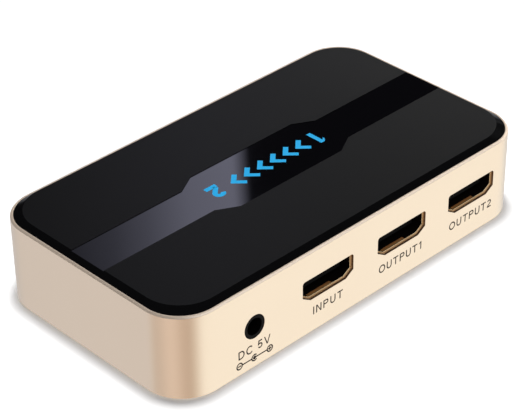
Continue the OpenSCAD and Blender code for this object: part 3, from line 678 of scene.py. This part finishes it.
def screws_tree():
    """A countersunk head with a cross cut into it, on a plain shank, repeated four times."""
    tree, given, result = new_tree("cover_screws", (
        "Spread X", "Spread Y", "Base Z", "Head Radius", "Shank Radius", "Head Height", "Length",
        "Recess Length", "Recess Width", "Recess Depth"))
    nodes, links = tree.nodes, tree.links

    def shifted(geometry, z):
        up = nodes.new("ShaderNodeCombineXYZ")
        links.new(z, up.inputs["Z"])
        place = nodes.new("GeometryNodeTransform")
        links.new(geometry, place.inputs["Geometry"])
        links.new(up.outputs["Vector"], place.inputs["Translation"])
        return place.outputs["Geometry"]

    head = nodes.new("GeometryNodeMeshCone")
    head.inputs["Vertices"].default_value = round_steps
    links.new(given.outputs["Head Radius"], head.inputs["Radius Bottom"])
    links.new(given.outputs["Shank Radius"], head.inputs["Radius Top"])
    links.new(given.outputs["Head Height"], head.inputs["Depth"])
    shank = nodes.new("GeometryNodeMeshCylinder")
    shank.inputs["Vertices"].default_value = shank_steps
    links.new(given.outputs["Shank Radius"], shank.inputs["Radius"])
    shank_length = math_node(tree, "SUBTRACT", given.outputs["Length"], given.outputs["Head Height"])
    links.new(shank_length, shank.inputs["Depth"])
    half_shank = math_node(tree, "MULTIPLY", shank_length, 0.5)
    shank_z = math_node(tree, "ADD", given.outputs["Head Height"], half_shank)
    cut_depth = math_node(tree, "MULTIPLY", given.outputs["Recess Depth"], 2.0)
    cut = nodes.new("GeometryNodeMeshBoolean")
    cut.operation = "DIFFERENCE"
    cut.solver = "EXACT"
    links.new(head.outputs["Mesh"], cut.inputs["Mesh 1"])
    for long_side, short_side in (("X", "Y"), ("Y", "X")):
        size = nodes.new("ShaderNodeCombineXYZ")
        links.new(given.outputs["Recess Length"], size.inputs[long_side])
        links.new(given.outputs["Recess Width"], size.inputs[short_side])
        links.new(cut_depth, size.inputs["Z"])
        bar = nodes.new("GeometryNodeMeshCube")
        links.new(size.outputs["Vector"], bar.inputs["Size"])
        links.new(bar.outputs["Mesh"], cut.inputs["Mesh 2"])
    whole = nodes.new("GeometryNodeJoinGeometry")
    links.new(shifted(shank.outputs["Mesh"], shank_z), whole.inputs["Geometry"])
    links.new(cut.outputs["Mesh"], whole.inputs["Geometry"])
    at_four_corners(tree, given, result, whole.outputs["Geometry"])
    return tree


screws = grown("cover_screws_cross", screws_tree(), {
    "Spread X": screws_high.x - screws_low.x - 2 * screw_head_radius,
    "Spread Y": screws_high.y - screws_low.y - 2 * screw_head_radius,
    "Base Z": screws_low.z,
    "Head Radius": screw_head_radius,
    "Shank Radius": screw_shank_radius,
    "Head Height": screw_head_height,
    "Length": screws_high.z - screws_low.z,
    "Recess Length": recess_length,
    "Recess Width": recess_width,
    "Recess Depth": recess_depth,
    "Finish": plated_steel,
})
stands_for(screws, "cover_screws")


# Legends
# Plain function words under the jack and the sockets, and the sign of the jack's poles, printed on the
# wall in a thin film of dark brown ink. Every letter is drawn with a pen of one width.
front_y = tub_low.y
ink_proud = 0.006 * MM
ink_deep = 0.014 * MM
pen_share = 0.155
ink = new_finish("brown_ink", srgb(38, 27, 18), srgb(48, 35, 24), (0.5, 0.6), 9000.0, 0.002, specular=0.2)


def arc(x, y, rx, ry, start, end, steps=20):
    """Points along an arc from one angle to another, in degrees."""
    turns = [math.radians(start + (end - start) * i / steps) for i in range(steps + 1)]
    return [(x + rx * math.cos(a), y + ry * math.sin(a)) for a in turns]


def oblong(x0, y0, x1, y1):
    """Corners of a rectangle."""
    return [(x0, y0), (x1, y0), (x1, y1), (x0, y1)]


def glyphs(w):
    """The letters by name: width, full shapes and pen strokes, for a cap height of 1 and a pen width w."""
    h = w / 2
    return {
        " ": (0.2, [], []),
        "1": (0.42, [oblong(0.42 - w, 0, 0.42, 1),
                     [(0.02, 0.69), (0.42 - w, 0.84), (0.42 - w, 1), (0.02, 0.81)]], []),
        "2": (0.66, [oblong(0, 0, 0.66, w)], [arc(0.33, 0.7, 0.32 - h, 0.3 - h, 165, -38) + [(h, w)]]),
        "5": (0.66, [], [[(0.61, 1 - h), (0.1 + h, 1 - h), (0.03 + h, 0.5)]
                         + arc(0.325, 0.33, 0.335 - h, 0.33 - h, 130, -150)]),
        "C": (0.92, [], [arc(0.48, 0.5, 0.48 - h, 0.515 - h, 38, 322, 32)]),
        "D": (0.84, [oblong(0, 0, w, 1)],
              [[(w, 1 - h)] + arc(0.36, 0.5, 0.48 - h, 0.5 - h, 90, -90) + [(w, h)]]),
        "I": (w, [oblong(0, 0, w, 1)], []),
        "N": (0.79, [[(0, 0), (w, 0), (w, 0.79), (0.79 - w, 0), (0.79, 0), (0.79, 1),
                      (0.79 - w, 1), (0.79 - w, 0.21), (w, 1), (0, 1)]], []),
        "O": (0.99, [], [arc(0.495, 0.5, 0.495 - h, 0.515 - h, 0, 360, 40)]),
        "P": (0.75, [oblong(0, 0, w, 1)],
              [[(w, 1 - h)] + arc(0.47, 0.71, 0.28 - h, 0.29 - h, 90, -90) + [(w, 0.42 + h)]]),
        "T": (0.8, [oblong(0, 1 - w, 0.8, 1), oblong(0.4 - h, 0, 0.4 + h, 1 - w)], []),
        "U": (0.78, [], [[(h, 1)] + arc(0.39, 0.37, 0.39 - h, 0.385 - h, 180, 360) + [(0.78 - h, 1)]]),
        "V": (0.88, [[(0.36, 0), (0.52, 0), (0.88, 1), (0.74, 1), (0.44, 0.16), (0.14, 1), (0, 1)]], []),
    }


def add_faces(film, points, faces):
    """Add flat points, each with its depth, and the faces between them to a film."""
    first = len(film[0])
    film[0].extend(points)
    film[1].extend(tuple(first + i for i in face) for face in faces)


def add_shape(film, outline):
    """Add a full shape, whose outline runs counter-clockwise, to a film."""
    n = len(outline)
    faces = [tuple(range(n)), tuple(reversed(range(n, 2 * n)))]
    faces += [((i + 1) % n, i, n + i, n + (i + 1) % n) for i in range(n)]
    add_faces(film, [(x, y, deep) for deep in (0, 1) for x, y in outline], faces)


def add_stroke(film, points, width):
    """Add a stroke of one width along a line of points to a film. A line back to its start makes a ring."""
    line = [Vector(p) for p in points]
    closed = (line[0] - line[-1]).length < 0.01 * width
    if closed:
        line.pop()
    n = len(line)
    right, left = [], []
    for i, p in enumerate(line):
        come = p - line[i - 1] if i or closed else line[1] - p
        go = line[(i + 1) % n] - p if i < n - 1 or closed else come
        along = (come.normalized() + go.normalized()).normalized()
        aside = Vector((along.y, -along.x)) * (width / 2 / max(along.dot(come.normalized()), 0.4))
        right.append(p + aside)
        left.append(p - aside)
    faces = []
    for i in range(n if closed else n - 1):
        j = (i + 1) % n
        faces += [(i, j, n + j, n + i), (2 * n + j, 2 * n + i, 3 * n + i, 3 * n + j),
                  (j, i, 2 * n + i, 2 * n + j), (n + i, n + j, 3 * n + j, 3 * n + i)]
    if not closed:
        faces += [(0, n, 3 * n, 2 * n), (2 * n - 1, n - 1, 3 * n - 1, 4 * n - 1)]
    add_faces(film, [(p.x, p.y, deep) for deep in (0, 1) for p in right + left], faces)


def add_words(film, words, w, x0, x1, base, cap):
    """Add words of a cap height between two ends, their letters evenly spaced, to a film."""
    letters = [glyphs(w)[letter] for letter in words]
    gap = ((x1 - x0) / cap - sum(letter[0] for letter in letters)) / max(len(letters) - 1, 1)
    x = x0
    for width, shapes, strokes in letters:
        for shape in shapes:
            add_shape(film, [(x + px * cap, base + py * cap) for px, py in shape])
        for stroke in strokes:
            add_stroke(film, [(x + px * cap, base + py * cap) for px, py in stroke], w * cap)
        x += (width + gap) * cap


def film_mesh(name, film, place):
    """The mesh of a film whose points a function puts in their place."""
    mesh = bpy.data.meshes.new(name)
    mesh.from_pydata([place(*point) for point in film[0]], [], film[1])
    return mesh


def on_wall(x, z, deep):
    """The place of a film's point on the front wall."""
    return (x * MM, front_y - ink_proud + deep * (ink_proud + ink_deep), z * MM)


# Each row has the words, their left and right end, their foot line and their cap height, in mm.
print_film = ([], [])
for words, x0, x1, base, cap in (
    ("DC 5V", -36.65, -27.65, 4.22, 2.04),
    ("INPUT", -15.22, -6.38, 4.38, 2.0),
    ("OUTPUT1", 4.78, 18.3, 4.4, 2.0),
    ("OUTPUT2", 27.45, 41.62, 4.42, 2.02),
):
    add_words(print_film, words, pen_share, x0, x1, base, cap)

# The sign of the poles, in mm too: a minus and a plus in rings, and the pin between them in an open ring.
sign_z = 2.62
sign_r = 0.9
line_w = 0.31
bar_half = 0.48
dot_r = 0.45
ring_r = sign_r - line_w / 2
minus_x, dot_x, plus_x = -36.4, -32.2, -27.85
for x in (minus_x, plus_x):
    add_stroke(print_film, arc(x, sign_z, ring_r, ring_r, 0, 360, 40), line_w)
    add_stroke(print_film, [(x - bar_half, sign_z), (x + bar_half, sign_z)], line_w)
for side in (-1, 1):
    ends = sorted((sign_z + side * line_w / 2, sign_z + side * bar_half))
    add_shape(print_film, oblong(plus_x - line_w / 2, ends[0], plus_x + line_w / 2, ends[1]))
add_stroke(print_film, arc(dot_x, sign_z, ring_r, ring_r, 40, 320, 32), line_w)
add_shape(print_film, arc(dot_x, sign_z, dot_r, dot_r, 0, 360, 24)[:-1])
add_stroke(print_film, [(minus_x + sign_r, sign_z), (dot_x - sign_r, sign_z)], line_w)
add_stroke(print_film, [(dot_x + dot_r, sign_z), (plus_x - sign_r, sign_z)], line_w)
legends = new_piece("legends", film_mesh("legends", print_film, on_wall), ink)
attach(legends, "case")


# Mark on the band
# A generic mark for one in and two out: a 1, arrow heads and a 2. It is printed in a thin film of light
# blue ink on the polished band, and it reads from the rear.
mark_pen_share = 0.24
mark_half_mm = 16.5
mark_high_mm = 4.7
two_wide_mm = 3.1
chevrons = 6
chevron_half_mm = 2.0
chevron_deep_mm = 2.1
chevron_step_mm = 3.9
chevron_stroke_mm = 1.15
mark_blue = new_finish("light_blue_ink", srgb(26, 161, 222), srgb(40, 175, 233), (0.35, 0.45), 6000.0, 0.001)


def on_band(x, y, deep):
    """The place of a film's point on the band, turned to be read from the rear."""
    return (-x * MM, -y * MM, band_z + ink_proud - deep * (ink_proud + ink_deep))


mark_film = ([], [])
for digit, x0, x1 in (("1", -mark_half_mm, -mark_half_mm), ("2", mark_half_mm - two_wide_mm, mark_half_mm)):
    add_words(mark_film, digit, mark_pen_share, x0, x1, -mark_high_mm / 2, mark_high_mm)
for i in range(chevrons):
    x = chevron_step_mm * (i - chevrons / 2)
    arrow_head = [(x, chevron_half_mm), (x + chevron_deep_mm, 0), (x, -chevron_half_mm)]
    add_stroke(mark_film, arrow_head, chevron_stroke_mm)
mark = new_piece("in_out_mark", film_mesh("in_out_mark", mark_film, on_band), mark_blue)
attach(mark, "case")


# Studio
# A plain pale floor under softboxes, between pale cards whose tone the metal takes up, with a small card
# behind that the polished band mirrors. The camera sees the floor as white, with the soft shadow on it.
lamp_far = 0.95
object_middle = (0, 0, 0.01)
top_lamp_x, top_lamp_y, top_lamp_z = 0.028, 0.028, 1.0
first_hand_depth = 1.5
cool = (0.94, 1.0, 1.1)


def softbox(name, at, aims_at, width, height, radiance, colour=(1.0, 1.0, 1.0)):
    """An oblong lamp of even brightness."""
    lamp = bpy.data.lights.new(name, "AREA")
    lamp.shape = "RECTANGLE"
    lamp.size = width
    lamp.size_y = height
    lamp.energy = radiance * math.pi * width * height
    lamp.color = colour
    stand = bpy.data.objects.new(name, lamp)
    at = Vector(at)
    stand.matrix_world = Matrix.LocRotScale(at, (Vector(aims_at) - at).to_track_quat("-Z", "Y"), None)
    bpy.context.scene.collection.objects.link(stand)
    return stand


def from_object(azimuth_deg, elevation_deg, distance):
    """A place seen from the object, its azimuth from +Y towards +X."""
    a, e = math.radians(azimuth_deg), math.radians(elevation_deg)
    return Vector((math.sin(a) * math.cos(e), math.cos(a) * math.cos(e), math.sin(e))) * distance


def mirrored_only(card):
    """Let a card show only in what the camera sees mirrored at first hand, so that it lights no floor."""
    card.visible_diffuse = False
    card.data.use_nodes = True
    nodes, links = card.data.node_tree.nodes, card.data.node_tree.links
    path = nodes.new("ShaderNodeLightPath")
    at_first_hand = nodes.new("ShaderNodeMath")
    at_first_hand.operation = "LESS_THAN"
    at_first_hand.inputs[1].default_value = first_hand_depth
    links.new(path.outputs["Ray Depth"], at_first_hand.inputs[0])
    links.new(at_first_hand.outputs["Value"], nodes["Emission"].inputs["Strength"])


softbox("top_softbox", (top_lamp_x, top_lamp_y, top_lamp_z), (top_lamp_x, top_lamp_y, 0),
        0.17, 0.17, 81.0).visible_glossy = False
softbox("back_softbox", from_object(5, 58, lamp_far), object_middle, 0.4, 0.4, 2.15).visible_glossy = False
softbox("fill_softbox", from_object(-148, 50, lamp_far), object_middle, 0.5, 0.5, 2.4).visible_glossy = False
mirrored_only(softbox("front_card", from_object(146, 22, lamp_far), object_middle, 0.8, 0.6, 1.2, cool))
mirrored_only(softbox("rim_card", from_object(165, 46, lamp_far), object_middle, 0.45, 0.4, 4.5, cool))
mirrored_only(softbox("side_card", from_object(93, 31, lamp_far), object_middle, 0.35, 0.3, 13.0))
softbox("right_card", from_object(60, 17, lamp_far), object_middle, 0.5, 0.32, 0.9)

card_tones = (
    (-180, (0.60, 0.60, 0.64)), (-114, (0.68, 0.70, 0.75)), (-64, (1.0, 1.0, 1.0)),
    (-14, (1.0, 1.0, 1.0)), (28, (0.57, 0.47, 0.42)), (70, (0.75, 0.65, 0.62)),
    (108, (0.61, 0.54, 0.52)), (132, (0.68, 0.67, 0.72)), (180, (0.60, 0.60, 0.64)),
)
dark_room = (0.015, 0.014, 0.018, 1.0)
world = bpy.data.worlds.new("studio")
bpy.context.scene.world = world
world.use_nodes = True
world.cycles.sampling_method = "NONE"
nodes, links = world.node_tree.nodes, world.node_tree.links
toward = nodes.new("ShaderNodeTexCoord")
flipped = nodes.new("ShaderNodeVectorMath")
flipped.operation = "SCALE"
flipped.inputs["Scale"].default_value = -1.0
links.new(toward.outputs["Generated"], flipped.inputs[0])
axis = nodes.new("ShaderNodeSeparateXYZ")
links.new(flipped.outputs["Vector"], axis.inputs["Vector"])
azimuth = nodes.new("ShaderNodeMath")
azimuth.operation = "ARCTAN2"
links.new(axis.outputs["X"], azimuth.inputs[0])
links.new(axis.outputs["Y"], azimuth.inputs[1])
round_share = nodes.new("ShaderNodeMapRange")
round_share.inputs["From Min"].default_value = -math.pi
round_share.inputs["From Max"].default_value = math.pi
links.new(azimuth.outputs["Value"], round_share.inputs["Value"])
cards = nodes.new("ShaderNodeValToRGB")
cards.color_ramp.interpolation = "EASE"
fill_ramp(cards.color_ramp, [((degrees + 180) / 360, (*colour, 1.0)) for degrees, colour in card_tones])
links.new(round_share.outputs["Result"], cards.inputs["Fac"])
below = nodes.new("ShaderNodeMapRange")
below.inputs["From Min"].default_value = 0.0
below.inputs["From Max"].default_value = 0.05
links.new(axis.outputs["Z"], below.inputs["Value"])
room = nodes.new("ShaderNodeMix")
room.data_type = "RGBA"
room.inputs["A"].default_value = dark_room
links.new(below.outputs["Result"], room.inputs["Factor"])
links.new(cards.outputs["Color"], room.inputs["B"])
path = nodes.new("ShaderNodeLightPath")
backdrop = nodes.new("ShaderNodeMix")
backdrop.data_type = "RGBA"
backdrop.inputs["B"].default_value = (1.0, 1.0, 1.0, 1.0)
seen = nodes.new("ShaderNodeMath")
seen.operation = "MAXIMUM"
links.new(path.outputs["Is Camera Ray"], seen.inputs[0])
links.new(path.outputs["Is Transmission Ray"], seen.inputs[1])
links.new(seen.outputs["Value"], backdrop.inputs["Factor"])
links.new(room.outputs["Result"], backdrop.inputs["A"])
links.new(backdrop.outputs["Result"], nodes["Background"].inputs["Color"])

card_distance = 1.0
card_azimuth = (33.5, 43.4)
card_elevation = (27.0, 38.0)
card_levels = ((33.5, 0.1), (36.4, 0.26), (38.1, 0.46), (40.2, 0.83), (42.45, 0.97), (43.25, 0.0))
card_blue = 1.3
card_wide = card_azimuth[1] - card_azimuth[0]
card_level = sum(card_elevation) / 2
card_middle = from_object(sum(card_azimuth) / 2, card_level, card_distance)
card_half_w = math.radians(card_wide) / 2 * math.cos(math.radians(card_level))
card_half_h = math.radians(card_elevation[1] - card_elevation[0]) / 2


def sheet_mesh(name, half_w, half_h):
    """A flat oblong sheet."""
    mesh = bpy.data.meshes.new(name)
    mesh.from_pydata([(x, y, 0) for x, y in oblong(-half_w, -half_h, half_w, half_h)], [], [(0, 1, 2, 3)])
    return mesh


card_light = bpy.data.materials.new("band_card")
card_light.use_nodes = True
nodes, links = card_light.node_tree.nodes, card_light.node_tree.links
nodes.remove(nodes["Principled BSDF"])
place = nodes.new("ShaderNodeTexCoord")
axis = nodes.new("ShaderNodeSeparateXYZ")
links.new(place.outputs["Object"], axis.inputs["Vector"])
across = nodes.new("ShaderNodeMapRange")
across.inputs["From Min"].default_value = -card_half_w
across.inputs["From Max"].default_value = card_half_w
links.new(axis.outputs["X"], across.inputs["Value"])
fade = nodes.new("ShaderNodeValToRGB")
fill_ramp(fade.color_ramp, [((degrees - card_azimuth[0]) / card_wide, (level, level, level * card_blue, 1.0))
                            for degrees, level in card_levels])
links.new(across.outputs["Result"], fade.inputs["Fac"])
glow = nodes.new("ShaderNodeEmission")
glow.inputs["Strength"].default_value = 1.0
links.new(fade.outputs["Color"], glow.inputs["Color"])
links.new(glow.outputs["Emission"], nodes["Material Output"].inputs["Surface"])
card = new_piece("band_card", sheet_mesh("band_card", card_half_w, card_half_h), card_light)
card.matrix_world = Matrix.LocRotScale(card_middle, (-card_middle).to_track_quat("Z", "Y"), None)
card.visible_camera = False
card.visible_shadow = False
card.visible_diffuse = False

shade_reach = 0.085
white_reach = 0.17
floor_half = 3.0
floor_tone = (0.85, 0.85, 0.85, 1.0)
floor_tone_seen = (1.19, 1.19, 1.19, 1.0)
floor_paint = bpy.data.materials.new("floor_white")
floor_paint.use_nodes = True
nodes, links = floor_paint.node_tree.nodes, floor_paint.node_tree.links
nodes.remove(nodes["Principled BSDF"])
path = nodes.new("ShaderNodeLightPath")
paint = nodes.new("ShaderNodeMix")
paint.data_type = "RGBA"
paint.inputs["A"].default_value = floor_tone
paint.inputs["B"].default_value = floor_tone_seen
links.new(path.outputs["Is Camera Ray"], paint.inputs["Factor"])
matt = nodes.new("ShaderNodeBsdfDiffuse")
links.new(paint.outputs["Result"], matt.inputs["Color"])
place = nodes.new("ShaderNodeTexCoord")
reach = nodes.new("ShaderNodeVectorMath")
reach.operation = "LENGTH"
links.new(place.outputs["Object"], reach.inputs[0])
away = nodes.new("ShaderNodeMapRange")
away.interpolation_type = "SMOOTHSTEP"
away.inputs["From Min"].default_value = shade_reach
away.inputs["From Max"].default_value = white_reach
links.new(reach.outputs["Value"], away.inputs["Value"])
far_off = nodes.new("ShaderNodeMath")
far_off.operation = "MULTIPLY"
links.new(away.outputs["Result"], far_off.inputs[0])
links.new(path.outputs["Is Camera Ray"], far_off.inputs[1])
white = nodes.new("ShaderNodeEmission")
sheet = nodes.new("ShaderNodeMixShader")
links.new(far_off.outputs["Value"], sheet.inputs["Fac"])
links.new(matt.outputs["BSDF"], sheet.inputs[1])
links.new(white.outputs["Emission"], sheet.inputs[2])
links.new(sheet.outputs["Shader"], nodes["Material Output"].inputs["Surface"])
floor_paint.cycles.emission_sampling = "NONE"
floor = new_piece("floor", sheet_mesh("floor", floor_half, floor_half), floor_paint)
floor.visible_glossy = False
